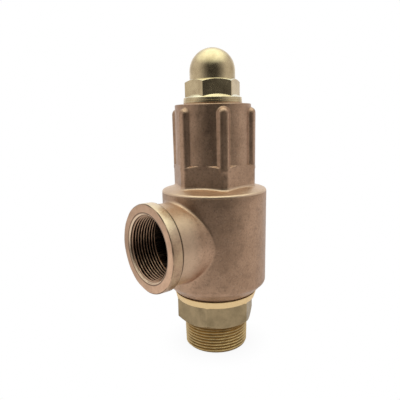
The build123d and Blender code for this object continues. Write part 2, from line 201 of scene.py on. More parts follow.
# ---- sizes that the pieces share with the solids, in millimetres --------------------------
PITCH = 2.309
THREAD_DEPTH = 1.45
PIPE_MAJOR = 23.9
BORE = 17.0
SEAT_BORE = 16.0
SEAT_OUTER = 19.0
SEAT_Z = 66.0
HEX_Z = 20.7
HEX_APOTHEM = 26.4
HEX_TURN = math.radians(37.5)
RING_Z = 38.0
RING_TOP = 43.2
RING_LOW_R = 29.7
RING_TOP_R = 31.3
NOZZLE_THREAD = 26.0
SCREWED_LOW = 46.3  # the plain cylinder that stands for the nozzle's thread in the body
SCREWED_HIGH = 56.0
RELIEF = 1.35  # depth of the turned relief between the inlet thread and the hexagon
BONNET_Z = 113.0  # the bonnet's lower end, inside the body
BODY_TOP = 119.3
BODY_TOP_R = 38.8
CAVITY_Z = 58.0  # floor of the body's chamber
BONNET_THREAD = 34.5
SHOULDER_Z = 121.1
SHOULDER_FOOT_Z = 124.2
LEDGE_Z = 139.9
BARREL_R = 27.6
BONNET_APOTHEM = 27.55
CORNER_R = 30.8
BONNET_TURN = math.radians(4.1)
RIB_TOP = 180.6
BONNET_TOP = 182.5
CHAMBER_R = 22.5
CHAMBER_TOP = 172.0
NECK_R = 14.8
NECK_TOP = 191.5
NECK_PITCH = 1.5
NECK_DEPTH = 0.92
ADJUSTER_R = 8.0
OUTLET_Z = 85.8
OUTLET_FACE = 60.8
PASSAGE_R = 21.6  # bore of the body behind the outlet's thread
THREAD_END = 40.0
BAND_R = 31.25
BAND_WIDTH = 7.8
MOUTH_R = 24.5  # the bevelled mouth of the outlet's thread
LINING_R = 25.2  # outside of the threaded piece that lines the body's outlet


def rise(value, low, high):
    """0 below low, 1 above high, and a smooth step between."""
    t = min(max((value - low) / (high - low), 0.0), 1.0)
    return t * t * (3 - 2 * t)


# ---- bonnet casting ------------------------------------------------------------------------
NOSE_FLAT = 1.1  # half width of the flat nose of a rib
NOSE_ROUNDING = 3.1
RIB_SIDE = math.radians(68)  # steepest slope of a rib's sides
BONNET_DRAFT = 0.008  # the casting narrows by this much per millimetre downwards
LEDGE_SLOPE = 1.7  # the hexagon's top is coned like a nut's: radius over height


def softer(first, second, width):
    """The smaller of two radii, with the corner between them rounded."""
    near = max(width - abs(first - second), 0.0) / width
    return min(first, second) - near * near * width / 4


def filled(first, second, width):
    """The larger of two radii, with the hollow between them filled."""
    near = max(width - abs(first - second), 0.0) / width
    return max(first, second) + near * near * width / 4


def bonnet_hexagon(angle, z):
    """The hexagon's radius, with its corners turned down."""
    draft = BONNET_DRAFT * (z - LEDGE_Z)
    off = wrap(6 * (angle - BONNET_TURN)) / 6
    side = (BONNET_APOTHEM + draft) / math.cos(math.pi / 6 - abs(off))
    return softer(side, (CORNER_R - 0.1 + draft) / math.cos(off), 0.3)


def rib_drop(reach):
    """How far a rib's surface has fallen below its nose at a distance from its middle line."""
    past = max(0.0, reach - NOSE_FLAT)
    arc = NOSE_ROUNDING * math.sin(RIB_SIDE)
    if past < arc:
        return NOSE_ROUNDING - math.sqrt(NOSE_ROUNDING ** 2 - past ** 2)
    return NOSE_ROUNDING * (1 - math.cos(RIB_SIDE)) + (past - arc) * math.tan(RIB_SIDE)


def bonnet_radius(angle, z):
    """The bonnet's wall above the shoulder: hexagon below the ledge, barrel and ribs above it."""
    hexed = bonnet_hexagon(angle, z)
    off = wrap(6 * (angle - BONNET_TURN)) / 6
    side = hexed * math.sin(abs(off))
    climb = max(0.0, z - (RIB_TOP - NOSE_FLAT - NOSE_ROUNDING - 0.9))
    nose = CORNER_R + BONNET_DRAFT * (z - LEDGE_Z) - rib_drop(math.hypot(side, climb))
    ribbed = filled(BARREL_R, nose / math.cos(off), 1.6)
    coned = softer(hexed, BARREL_R + (LEDGE_Z + 0.3 - z) * LEDGE_SLOPE, 0.6)
    low = filled(coned, nose / math.cos(off), 0.8) if z > LEDGE_Z - 3.5 else hexed
    return low + max(0.0, ribbed - low) * rise(z, LEDGE_Z - 0.9, LEDGE_Z + 0.3)


# heights of the wall's rows: close together at the ledge and at the ribs' upper ends
WALL_HEIGHTS = [LEDGE_Z - 8, LEDGE_Z - 4]
WALL_HEIGHTS += [LEDGE_Z - 3.2 + 0.2 * i for i in range(21)]
WALL_HEIGHTS += [LEDGE_Z + 3 + 4.1 * i for i in range(8)]
WALL_HEIGHTS += [RIB_TOP - 8.0 + 0.4 * i for i in range(21)]


def shoulder_outline(angle):
    """The bonnet's lower end, its joint with the body, the shoulder and the hollow at the hexagon's foot."""
    foot = bonnet_hexagon(angle, SHOULDER_FOOT_Z)
    slope = (SHOULDER_FOOT_Z - SHOULDER_Z) / (BODY_TOP_R - BARREL_R)
    foot_z = SHOULDER_Z + slope * (BODY_TOP_R - foot)
    joint_r = BONNET_THREAD - 0.05
    return rounded([
        (CHAMBER_R, BONNET_Z, 0), (joint_r, BONNET_Z, 0.6), (joint_r, BODY_TOP, 0),
        (BODY_TOP_R - 0.05, BODY_TOP, 0.15), (BODY_TOP_R, SHOULDER_Z, 1.8),
        (foot, foot_z, 1.8), (foot, foot_z + 3.0, 0)], steps=6)


def neck_thread(angle):
    """The thread that the cap screws onto; it fades in above the bonnet's top."""
    points = []
    for z in heights(BONNET_TOP + 1.35, NECK_TOP - 0.8, 0.15):
        fade = rise(z, BONNET_TOP + 1.3, BONNET_TOP + 2.2)
        below = pipe_thread(z - helix(angle, NECK_PITCH), NECK_PITCH, NECK_DEPTH)
        points.append((NECK_R - NECK_DEPTH + (NECK_DEPTH - below) * fade, z))
    return points


def bonnet_section(angle):
    """The bonnet's whole section, up its outside to the neck and down through its bore and chamber."""
    wall = [(bonnet_radius(angle, z), z) for z in WALL_HEIGHTS]
    top = rounded([
        (BARREL_R, RIB_TOP + 0.4, 0), (BARREL_R, BONNET_TOP, 0.7), (NECK_R - 1, BONNET_TOP, 0.5),
        (NECK_R - 1, BONNET_TOP + 1.2, 0)], steps=5)
    bore = ADJUSTER_R + 0.05
    inside = rounded([
        (NECK_R - 1.0, NECK_TOP, 0.3), (ADJUSTER_R + 0.8, NECK_TOP, 0), (bore, NECK_TOP - 0.8, 0),
        (bore, CHAMBER_TOP, 0), (CHAMBER_R, CHAMBER_TOP, 3.0)], steps=5)
    return shoulder_outline(angle) + wall + top + neck_thread(angle) + inside


def make_bonnet():
    corners = [BONNET_TURN + k * math.pi / 3 for k in range(6)]
    angles = even_angles(288, corners, math.radians(2.2))
    return loft("bonnet_casting", angles, bonnet_section)


# ---- inlet nozzle ---------------------------------------------------------------------------
GAUGE_Z = 12.7  # height of the thread's gauge plane
TAPER = 1 / 32  # on the radius, below the gauge plane
CREST_Z = 0.69  # height of a crest at angle 0
HEX_BEVEL = math.tan(math.radians(38))


def inlet_thread(angle):
    """The taper thread, with a bevelled start and a relief below the hexagon."""
    points = []
    for z in heights(0.0, HEX_Z - 1.3, 0.13):
        crest = PIPE_MAJOR - max(0.0, GAUGE_Z - z) * TAPER
        below = pipe_thread(z - CREST_Z - helix(angle, PITCH), PITCH, THREAD_DEPTH)
        start = PIPE_MAJOR - 2.0 + z * 1.1
        relief = (crest - PIPE_MAJOR + RELIEF) * rise(z, HEX_Z - 2.6, HEX_Z - 1.5)
        points.append((min(crest - below, start, crest - relief), z))
    return points


def nozzle_section(angle):
    """The thread, the hexagon, the coned ring, the screwed part inside the body, the seat and the bore."""
    side = hexagon(angle, HEX_APOTHEM, HEX_TURN, 1.6)
    ring_foot = max(side + 0.05, RING_LOW_R)
    edge = HEX_APOTHEM - 0.5
    bevel = max(0.0, side - edge) * HEX_BEVEL
    undercut = NOZZLE_THREAD - 1.6
    shelf = SCREWED_HIGH + 1.4
    head = rounded([
        (PIPE_MAJOR - RELIEF, HEX_Z, 0.3), (edge, HEX_Z, 0), (side, HEX_Z + bevel, 0),
        (side, RING_Z, 0), (ring_foot, RING_Z + 0.02, 0.1), (RING_TOP_R, RING_TOP - 0.3, 0.1),
        (RING_TOP_R - 0.3, RING_TOP, 0), (undercut, RING_TOP, 0), (undercut, SCREWED_LOW - 1.1, 0),
        (NOZZLE_THREAD, SCREWED_LOW, 0), (NOZZLE_THREAD, SCREWED_HIGH, 0), (NOZZLE_THREAD - 1.4, shelf, 0),
        (SEAT_OUTER + 3, shelf, 1.0), (SEAT_OUTER, SEAT_Z - 2.5, 0), (SEAT_OUTER, SEAT_Z - 0.25, 0),
        (SEAT_OUTER - 0.25, SEAT_Z, 0), (SEAT_BORE + 0.25, SEAT_Z, 0), (SEAT_BORE, SEAT_Z - 0.25, 0),
        (SEAT_BORE, SEAT_Z - 6, 2.0), (BORE, SEAT_Z - 16, 4.0), (BORE, 0.4, 0), (BORE + 0.4, 0, 0)], steps=4)
    return inlet_thread(angle) + head


def make_nozzle():
    corners = [HEX_TURN + k * math.pi / 3 for k in range(6)]
    return loft("nozzle_turned", even_angles(240, corners, math.radians(0.8)), nozzle_section)


# ---- domed cap --------------------------------------------------------------------------------
CAP_Z = 183.4
CAP_FLANGE_R = 21.3
CAP_HEX_Z = 189.1  # where a flat of the hexagon meets the flange's cone
CAP_GROOVE_Z = 185.1  # a turned line round the flange
CAP_HEX_TOP = 199.7
CAP_APOTHEM = 17.5
CAP_TURN = math.radians(30)
DOME_R = 16.35
DOME_CENTRE = 205.8
CAP_WALL = 2.6
CAP_BEVEL = math.tan(math.radians(30))
CAP_DEPTH = 0.9  # of its thread
DOME_ARC = [math.radians(90 - 7.5 * k) for k in range(12)]


def dome(radius):
    """The dome's outline from its top down to just above its centre."""
    return [(radius * math.cos(a), DOME_CENTRE + radius * math.sin(a)) for a in DOME_ARC]


def cap_flange(side):
    """The hexagon's flat or corner, the coned flange below it and the turned line round the flange."""
    edge = CAP_APOTHEM - 0.45
    brim = CAP_FLANGE_R - 0.35
    foot = CAP_HEX_Z - (side - CAP_APOTHEM) * CAP_BEVEL
    return rounded([
        (DOME_R, DOME_CENTRE, 0), (DOME_R, CAP_HEX_TOP + 0.05, 0.25), (edge, CAP_HEX_TOP, 0),
        (side, CAP_HEX_TOP - (side - edge) * CAP_BEVEL, 0.12), (side, foot, 0.15),
        (brim, CAP_HEX_Z - (brim - CAP_APOTHEM) * CAP_BEVEL, 0.25),
        (CAP_FLANGE_R - 0.18, CAP_GROOVE_Z + 0.15, 0), (CAP_FLANGE_R - 0.38, CAP_GROOVE_Z, 0),
        (CAP_FLANGE_R - 0.12, CAP_GROOVE_Z - 0.15, 0), (CAP_FLANGE_R, CAP_Z, 0.2),
        (NECK_R + 0.8, CAP_Z, 0), (NECK_R + 0.05, CAP_Z + 0.75, 0)], steps=3)


def cap_thread(angle):
    """The female thread, half a pitch out of step with the neck's."""
    points = []
    for z in heights(CAP_Z + 0.9, NECK_TOP + 1.5, 0.15):
        phase = z - helix(angle, NECK_PITCH) + NECK_PITCH / 2
        points.append((NECK_R + 0.05 - CAP_DEPTH + pipe_thread(phase, NECK_PITCH, CAP_DEPTH), z))
    return points


def cap_section(angle):
    """The cap's whole section, from the top of the dome down its outside and up again inside."""
    side = hexagon(angle, CAP_APOTHEM, CAP_TURN, 0.5)
    inner = DOME_R - CAP_WALL
    inside = [(inner, NECK_TOP + 1.6), (inner, DOME_CENTRE)] + dome(inner)[::-1]
    return dome(DOME_R) + cap_flange(side) + cap_thread(angle) + inside


def make_cap():
    corners = [CAP_TURN + k * math.pi / 3 for k in range(6)]
    return loft("cap_dome", even_angles(240, corners, math.radians(1.0)), cap_section)


# ---- body casting: the solid's own surface with a real helix in its outlet -----------------------
def copy_of(node, name):
    """A new object with a copy of a carried-over node's mesh."""
    piece = bpy.data.objects.new(name, nodes[node].data.copy())
    bpy.context.scene.collection.objects.link(piece)
    return piece


def stand_on_outlet(piece):
    """Turns a piece that was lathed about Z so that it lies about the outlet's axis."""
    lay = Matrix.Rotation(math.radians(-90), 4, "Y")
    piece.data.transform(Matrix.Translation((0, 0, OUTLET_Z * MM)) @ lay)
    return piece


def outlet_thread(angle):
    """The female thread, cut away at the bevelled mouth."""
    points = []
    for x in heights(THREAD_END, OUTLET_FACE - 0.4, 0.13):
        below = pipe_thread(x - helix(angle, PITCH), PITCH, THREAD_DEPTH)
        mouth = MOUTH_R - (OUTLET_FACE - x) * 1.05
        points.append((max(PIPE_MAJOR - THREAD_DEPTH + below, mouth), x))
    return points


def outlet_section(angle):
    """The outlet's band and thread, lathed: radius and distance from the valve's axis."""
    wear = 0.12 * math.sin(3 * angle + 1) + 0.10 * math.sin(7 * angle) + 0.07 * math.sin(13 * angle + 2)
    back = OUTLET_FACE - BAND_WIDTH
    band = rounded([
        (MOUTH_R, OUTLET_FACE, 0.15), (BAND_R - 0.75 - wear, OUTLET_FACE, 0.25),
        (BAND_R, OUTLET_FACE - 0.65 - wear, 0.3), (BAND_R, back, 0.25), (LINING_R, back + 0.02, 0)], steps=3)
    return outlet_thread(angle) + band + [(LINING_R, THREAD_END)]


def make_outlet_band():
    return stand_on_outlet(loft("outlet_band", even_angles(240), outlet_section))


def make_body():
    """The body's solid without its band and thread, which make_outlet_band makes."""
    body = copy_of("body", "body_casting")
    clean(body.data)
    back = OUTLET_FACE - BAND_WIDTH
    outside = OUTLET_FACE + 2
    cutter = stand_on_outlet(loft("cutter", even_angles(240), lambda angle: [
        (0, THREAD_END), (LINING_R, THREAD_END), (LINING_R, back), (BAND_R + 1, back),
        (BAND_R + 1, outside), (0, outside)]))
    cut = body.modifiers.new("cut", "BOOLEAN")
    cut.object = cutter
    cut.solver = "EXACT"
    apply_modifiers(body)
    bpy.data.objects.remove(cutter)
    smooth(body)
    return body


def apply_modifiers(piece):
    """Makes the modifiers' result the piece's own mesh."""
    graph = bpy.context.evaluated_depsgraph_get()
    mesh = bpy.data.meshes.new_from_object(piece.evaluated_get(graph))
    piece.modifiers.clear()
    piece.data = mesh


# ---- spring ----------------------------------------------------------------------------------------
SPRING_Z = 124.0
SPRING_TOP = 163.0
SPRING_MEAN_R = 17.0
WIRE_R = 2.5
SPRING_TURNS = 5.5
GROUND = 0.5  # height of the wire's middle above the flat that is ground on it
SPRING_STEPS = 396
WIRE_SIDES = 20


def wire_rings():
    """The wire's rings of points: the last turn at each end closes up and is ground flat."""
    closed = 2 * WIRE_R
    climb = SPRING_TOP - SPRING_Z - 2 * GROUND
    opened = closed + (climb - closed * SPRING_TURNS) / (SPRING_TURNS - 2)
    verts = []
    height = SPRING_Z + GROUND
    for i in range(SPRING_STEPS + 1):
        turns = SPRING_TURNS * i / SPRING_STEPS
        end = min(turns, SPRING_TURNS - turns)
        outward = Vector((math.cos(2 * math.pi * turns), math.sin(2 * math.pi * turns), 0))
        for k in range(WIRE_SIDES):
            a = 2 * math.pi * k / WIRE_SIDES
            p = outward * (SPRING_MEAN_R + WIRE_R * math.cos(a))
            p.z = min(max(height + WIRE_R * math.sin(a), SPRING_Z), SPRING_TOP)
            verts.append(tuple(p * MM))
        height += (closed + (opened - closed) * rise(end, 0.8, 1.2)) * SPRING_TURNS / SPRING_STEPS
    return verts


def make_spring():
    ring = WIRE_SIDES
    faces = [(i * ring + k, (i + 1) * ring + k, (i + 1) * ring + (k + 1) % ring, i * ring + (k + 1) % ring)
             for i in range(SPRING_STEPS) for k in range(ring)]
    faces.append(tuple(range(ring)))
    faces.append(tuple(SPRING_STEPS * ring + k for k in reversed(range(ring))))
    mesh = bpy.data.meshes.new("spring_wire")
    mesh.from_pydata(wire_rings(), [], faces)
    clean(mesh)
    piece = bpy.data.objects.new("spring_wire", mesh)
    smooth(piece, 40)
    bpy.context.scene.collection.objects.link(piece)
    return piece


# ---- materials -------------------------------------------------------------------------------------
def put(tree, kind, **inputs):
    """Adds a shader node; an input may be a number, a colour or another node's output."""
    added = tree.nodes.new("ShaderNode" + kind)
    for key, value in inputs.items():
        socket = added.inputs[key.replace("_", " ")]
        if isinstance(value, bpy.types.NodeSocket):
            tree.links.new(value, socket)
        else:
            socket.default_value = value
    return added


def blank(name, metallic=1.0):
    """A material with one Principled surface; returns it, its tree and the surface."""
    material = bpy.data.materials.new(name)
    material.use_nodes = True
    tree = material.node_tree
    tree.nodes.clear()
    surface = put(tree, "BsdfPrincipled", Metallic=metallic)
    output = put(tree, "OutputMaterial")
    tree.links.new(surface.outputs["BSDF"], output.inputs["Surface"])
    return material, tree, surface


def mixed(tree, share, first, second):
    return put(tree, "MixRGB", Fac=share, Color1=(*first, 1) if isinstance(first, tuple) else first,
               Color2=(*second, 1) if isinstance(second, tuple) else second).outputs["Color"]


def noise(tree, where, scale, detail=4.0, rough=0.5):
    return put(tree, "TexNoise", Vector=where, Scale=scale, Detail=detail, Roughness=rough).outputs["Fac"]


def spread(tree, value, low, high, to_low=0.0, to_high=1.0):
    return put(tree, "MapRange", Value=value, From_Min=low, From_Max=high, To_Min=to_low,
               To_Max=to_high).outputs["Result"]


def bumped(tree, height, distance, strength=1.0, under=None):
    added = put(tree, "Bump", Height=height, Distance=distance, Strength=strength)
    if under is not None:
        tree.links.new(under, added.inputs["Normal"])
    return added.outputs["Normal"]


def lathe_place(tree):
    """A place made of the distance from the axis and the height, so that a pattern runs in rings."""
    where = put(tree, "TexCoord").outputs["Object"]
    parts = put(tree, "SeparateXYZ", Vector=where).outputs
    radius = length_of(tree, x=parts["X"], y=parts["Y"])
    ring = put(tree, "CombineXYZ", X=radius, Z=parts["Z"])
    return ring.outputs["Vector"], where, radius, parts["Z"]


def length_of(tree, x=None, y=None, z=None):
    """The length of a vector put together from the parts given."""
    parts = {key: part for key, part in (("X", x), ("Y", y), ("Z", z)) if part is not None}
    joined = put(tree, "CombineXYZ", **parts)
    measured = put(tree, "VectorMath")
    measured.operation = "LENGTH"
    tree.links.new(joined.outputs["Vector"], measured.inputs[0])
    return measured.outputs["Value"]


def outlet_place(tree):
    """Object place, its parts, and the distances from the valve's axis and from the outlet's."""
    where = put(tree, "TexCoord").outputs["Object"]
    parts = put(tree, "SeparateXYZ", Vector=where).outputs
    lifted = put(tree, "MapRange", Value=parts["Z"], From_Min=OUTLET_Z * MM, From_Max=OUTLET_Z * MM + 1,
                 To_Min=0.0, To_Max=1.0)
    lifted.clamp = False
    from_axis = length_of(tree, x=parts["X"], y=parts["Y"])
    from_outlet = length_of(tree, y=parts["Y"], z=lifted.outputs["Result"])
    return where, parts, from_axis, from_outlet


def combined(tree, operation, first, second):
    added = put(tree, "Math")
    added.operation = operation
    tree.links.new(first, added.inputs[0])
    tree.links.new(second, added.inputs[1])
    return added.outputs["Value"]


def product(tree, first, second):
    return combined(tree, "MULTIPLY", first, second)


def between(tree, value, low, high, fade):
    """1 from low to high, and 0 beyond them."""
    above = spread(tree, value, low - fade, low)
    return product(tree, above, spread(tree, value, high, high + fade, 1.0, 0.0))


BAND_BACK_X = (BAND_WIDTH - OUTLET_FACE) * MM  # the band's back edge; the outlet points along -X


def cast_colour(tree, where):
    """Brown and pink patches, darker stains, and a sandy grain with light specks."""
    patches = spread(tree, noise(tree, where, 45, 5, 0.6), 0.35, 0.68)
    colour = mixed(tree, patches, (0.45, 0.28, 0.18), (0.58, 0.37, 0.245))
    stains = spread(tree, noise(tree, where, 150, 6, 0.65), 0.52, 0.72, 0.0, 0.6)
    colour = mixed(tree, stains, colour, (0.31, 0.195, 0.128))
    sand = spread(tree, noise(tree, where, 700, 3, 0.6), 0.50, 0.68, 0.0, 0.55)
    colour = mixed(tree, sand, colour, (0.29, 0.18, 0.12))
    specks = spread(tree, noise(tree, where, 1000, 2, 0.5), 0.62, 0.76, 0.0, 0.45)
    return mixed(tree, specks, colour, (0.74, 0.56, 0.41))


def oxide_and_painted_shade_inside(tree, parts, from_axis, from_outlet):
    """1 on the walls of the body's chamber and of the passage to the outlet, which are painted with dark
    oxide and shade.
    """
    chamber = spread(tree, from_axis, (BONNET_THREAD + 0.1) * MM, (BONNET_THREAD + 0.3) * MM, 1.0, 0.0)
    outlet_side = spread(tree, parts["X"], -20 * MM, -10 * MM, 1.0, 0.0)
    bore = spread(tree, from_outlet, (PASSAGE_R + 0.2) * MM, (PASSAGE_R + 0.4) * MM, 1.0, 0.0)
    passage = product(tree, outlet_side, bore)
    in_body = between(tree, parts["Z"], CAVITY_Z * MM, BODY_TOP * MM, 1.0 * MM)
    return product(tree, combined(tree, "MAXIMUM", chamber, passage), in_body)


def painted_highlight_places(tree, parts, from_axis):
    """Painted highlights on the casting: its shoulder, its rim and the outlet's hub made brighter."""
    rim = between(tree, parts["Z"], (SHOULDER_Z - 1.0) * MM, (SHOULDER_Z + 0.1) * MM, 0.4 * MM)
    at_edge = spread(tree, from_axis, (BODY_TOP_R - 1.6) * MM, (BODY_TOP_R - 1.0) * MM, 0.0, 0.75)
    shoulder = between(tree, parts["Z"], SHOULDER_Z * MM, (SHOULDER_FOOT_Z + 1) * MM, 0.5 * MM)
    shoulder = spread(tree, shoulder, 0.0, 1.0, 0.0, 0.45)
    hub = spread(tree, parts["X"], -35 * MM, -44 * MM, 0.0, 0.44)
    on_bonnet = combined(tree, "MAXIMUM", product(tree, rim, at_edge), shoulder)
    return combined(tree, "MAXIMUM", on_bonnet, hub)


def casting():
    """Sand-cast gunmetal: painted highlights on the shoulder, its rim and the hub, painted shade behind the
    band, and dark oxide with painted shade inside.
    """
    material, tree, surface = blank("sand_cast_gunmetal")
    where, parts, from_axis, from_outlet = outlet_place(tree)
    colour = cast_colour(tree, where)
    # painted highlights: the shoulder, its rim and the hub made brighter
    colour = mixed(tree, painted_highlight_places(tree, parts, from_axis), colour, (0.84, 0.62, 0.43))
    # painted shade in the corner behind the band's back edge
    painted_shade_behind_band = between(tree, parts["X"], BAND_BACK_X, BAND_BACK_X + 1.7 * MM, 0.5 * MM)
    colour = mixed(tree, painted_shade_behind_band, colour, (0.11, 0.07, 0.045))
    # dark oxide and painted shade on the walls of the chamber and the passage
    inside = oxide_and_painted_shade_inside(tree, parts, from_axis, from_outlet)
    colour = mixed(tree, inside, colour, (0.035, 0.022, 0.015))
    tree.links.new(colour, surface.inputs["Base Color"])
    rough = spread(tree, noise(tree, where, 220, 4, 0.6), 0.3, 0.7, 0.30, 0.44)
    tree.links.new(rough, surface.inputs["Roughness"])
    tree.links.new(cast_bump(tree, where), surface.inputs["Normal"])
    return material


def cast_bump(tree, where, share=None):
    """The waves and the sandy grain of a cast skin; share is where it shows, 1 for full."""
    waves = noise(tree, where, 160, 3, 0.5)
    grain = noise(tree, where, 1400, 3, 0.65)
    if share is not None:
        waves = product(tree, waves, share)
        grain = product(tree, grain, share)
    return bumped(tree, grain, 0.00016, 0.9, bumped(tree, waves, 0.00035, 0.5))


def turned_face(tree, where, parts, rings):
    """The outlet's turned face: smeared, darker towards its upper and far side, with lathe lines."""
    smears = spread(tree, noise(tree, where, 110, 5, 0.65), 0.42, 0.66)
    colour = mixed(tree, smears, (0.82, 0.53, 0.35), (0.64, 0.40, 0.26))
    upper = spread(tree, parts["Z"], 85 * MM, 115 * MM, 0.0, 0.55)
    far = spread(tree, parts["Y"], -10 * MM, 28 * MM, 0.0, 0.85)
    patches = spread(tree, noise(tree, where, 75, 5, 0.6), 0.25, 0.6, 0.45, 1.0)
    darker_up_and_far = product(tree, combined(tree, "MAXIMUM", upper, far), patches)
    colour = mixed(tree, darker_up_and_far, colour, (0.42, 0.265, 0.17))
    return mixed(tree, spread(tree, rings, 0.5, 0.8, 0.0, 0.4), colour, (0.33, 0.21, 0.14))


def band_colour(tree, where, parts):
    """The band's outside: golden patches, a painted highlight on its upper side and painted shade along its
    back edge.
    """
    golden = spread(tree, noise(tree, where, 90, 5, 0.65), 0.40, 0.62, 0.0, 0.75)
    colour = mixed(tree, golden, cast_colour(tree, where), (0.64, 0.46, 0.28))
    # painted highlight: the band's upper side made lighter
    upper = spread(tree, parts["Z"], 94 * MM, 114 * MM, 0.0, 0.85)
    colour = mixed(tree, upper, colour, (0.90, 0.72, 0.50))
    # painted shade along the band's back edge
    back_edge_shade = spread(tree, parts["X"], BAND_BACK_X - 0.6 * MM, BAND_BACK_X - 0.3 * MM)
    return mixed(tree, back_edge_shade, colour, (0.12, 0.08, 0.05))


def mouth_marks(tree, colour, from_outlet, past_mouth):
    """A painted highlight on the lip round the mouth, with a dark line outside it."""
    # painted highlight on the mouth's bevelled lip
    lip = between(tree, from_outlet, (MOUTH_R - 1.0) * MM, (MOUTH_R - 0.1) * MM, 0.1 * MM)
    lip = product(tree, lip, spread(tree, past_mouth, 0.0, 1.0, 1.0, 0.0))
    colour = mixed(tree, lip, colour, (0.92, 0.70, 0.50))
    line = between(tree, from_outlet, (MOUTH_R + 0.2) * MM, (MOUTH_R + 0.8) * MM, 0.2 * MM)
    return mixed(tree, spread(tree, line, 0.0, 1.0, 0.0, 0.75), colour, (0.12, 0.075, 0.05))


def machined_outlet():
    """The outlet's end: a turned face, thread grooves darkened with oxide and painted shade, a golden band
    outside, and a painted dark reflection along the face's outer edge.
    """
    material, tree, surface = blank("machined_gunmetal_outlet")
    where, parts, _, from_outlet = outlet_place(tree)
    rings = noise(tree, put(tree, "CombineXYZ", X=from_outlet).outputs["Vector"], 5200, 2, 0.6)
    # the thread's grooves: dark oxide and painted shade
    root = spread(tree, from_outlet, (PIPE_MAJOR - THREAD_DEPTH + 0.15) * MM, (PIPE_MAJOR - 0.35) * MM)
    past_mouth = spread(tree, parts["X"], -(OUTLET_FACE - 1.0) * MM, -(OUTLET_FACE - 1.6) * MM)
    face = turned_face(tree, where, parts, rings)
    colour = mixed(tree, product(tree, root, past_mouth), face, (0.06, 0.036, 0.024))
    beyond_face = spread(tree, from_outlet, (BAND_R - 0.5) * MM, (BAND_R - 0.1) * MM)
    colour = mixed(tree, beyond_face, colour, band_colour(tree, where, parts))
    colour = mouth_marks(tree, colour, from_outlet, past_mouth)
    # painted dark reflection in patches along the face's outer edge
    edge = between(tree, from_outlet, (BAND_R - 0.55) * MM, (BAND_R - 0.3) * MM, 0.25 * MM)
    dark_edge_reflection = spread(tree, noise(tree, where, 70, 3, 0.5), 0.42, 0.60, 0.0, 0.9)
    colour = mixed(tree, product(tree, edge, dark_edge_reflection), colour, (0.06, 0.04, 0.026))
    tree.links.new(colour, surface.inputs["Base Color"])
    worn = noise(tree, where, 260, 4, 0.6)
    tree.links.new(spread(tree, worn, 0.3, 0.7, 0.26, 0.40), surface.inputs["Roughness"])
    sand = cast_bump(tree, where, beyond_face)
    tree.links.new(bumped(tree, rings, 0.00002, 0.7, sand), surface.inputs["Normal"])
    return material


def nozzle_colour(tree, colour, found):
    """A golden thread, darkened with painted shade low in its grooves, and a painted highlight on the ring
    above the hexagon.
    """
    height = found["height"]
    cover = spread(tree, found["stains"], 0.0, 1.0, 0.85, 0.55)
    on_thread = spread(tree, height, (HEX_Z - 1) * MM, HEX_Z * MM, 1.0, 0.0)
    # painted shade low in the thread's grooves
    roots = spread(tree, found["radius"], (PIPE_MAJOR - RELIEF) * MM, (PIPE_MAJOR - 0.35) * MM, 0.45, 0.0)
    colour = mixed(tree, product(tree, on_thread, cover), colour, (0.70, 0.50, 0.235))
    colour = mixed(tree, product(tree, on_thread, roots), colour, (0.13, 0.085, 0.03))
    # painted highlight: the coned ring made brighter
    ring_highlight = between(tree, height, RING_Z * MM, RING_TOP * MM, 0.1 * MM)
    return mixed(tree, ring_highlight, colour, (0.96, 0.70, 0.37))


def cap_painted_highlights(tree, colour, found):
    """Painted highlights on the hexagon's and the flange's bevels, which face up below the dome."""
    normal = put(tree, "NewGeometry").outputs["Normal"]
    # painted highlight on faces that point up
    sloping = spread(tree, put(tree, "SeparateXYZ", Vector=normal).outputs["Z"], 0.55, 0.8)
    below_dome = spread(tree, found["height"], CAP_HEX_TOP * MM, (CAP_HEX_TOP + 0.1) * MM, 1.0, 0.0)
    return mixed(tree, product(tree, sloping, below_dome), colour, (1.0, 0.94, 0.76))


def turned(name, dull, bright, rough_low, rough_high, mark=0.00003, further=None):
    """Lathe-turned metal: fine rings, faint stains, and a colour that further may change in places."""
    material, tree, surface = blank(name)
    lathe, where, radius, height = lathe_place(tree)
    rings = noise(tree, lathe, 4200, 2, 0.6)
    stains = spread(tree, noise(tree, where, 120, 5, 0.6), 0.4, 0.7)
    colour = mixed(tree, stains, bright, dull)
    colour = mixed(tree, spread(tree, rings, 0.45, 0.75, 0.0, 0.25), colour, dull)
    if further:
        colour = further(tree, colour, {"stains": stains, "radius": radius, "height": height})
    tree.links.new(colour, surface.inputs["Base Color"])
    finish = spread(tree, noise(tree, where, 300, 4, 0.6), 0.3, 0.7, rough_low, rough_high)
    tree.links.new(finish, surface.inputs["Roughness"])
    tree.links.new(bumped(tree, rings, mark, 1.0), surface.inputs["Normal"])
    return material


def plain(name, first, second, rough, metallic=0.0, scale=600, depth=0.00004):
    """A material without lathe marks: a mottled colour, an uneven finish and a fine tooth."""
    material, tree, surface = blank(name, metallic)
    where = put(tree, "TexCoord").outputs["Object"]
    tree.links.new(mixed(tree, noise(tree, where, scale, 4), first, second), surface.inputs["Base Color"])
    finish = spread(tree, noise(tree, where, scale * 0.5, 3), 0.3, 0.7, rough - 0.06, rough + 0.06)
    tree.links.new(finish, surface.inputs["Roughness"])
    tree.links.new(bumped(tree, noise(tree, where, scale * 3, 3), depth), surface.inputs["Normal"])
    return material


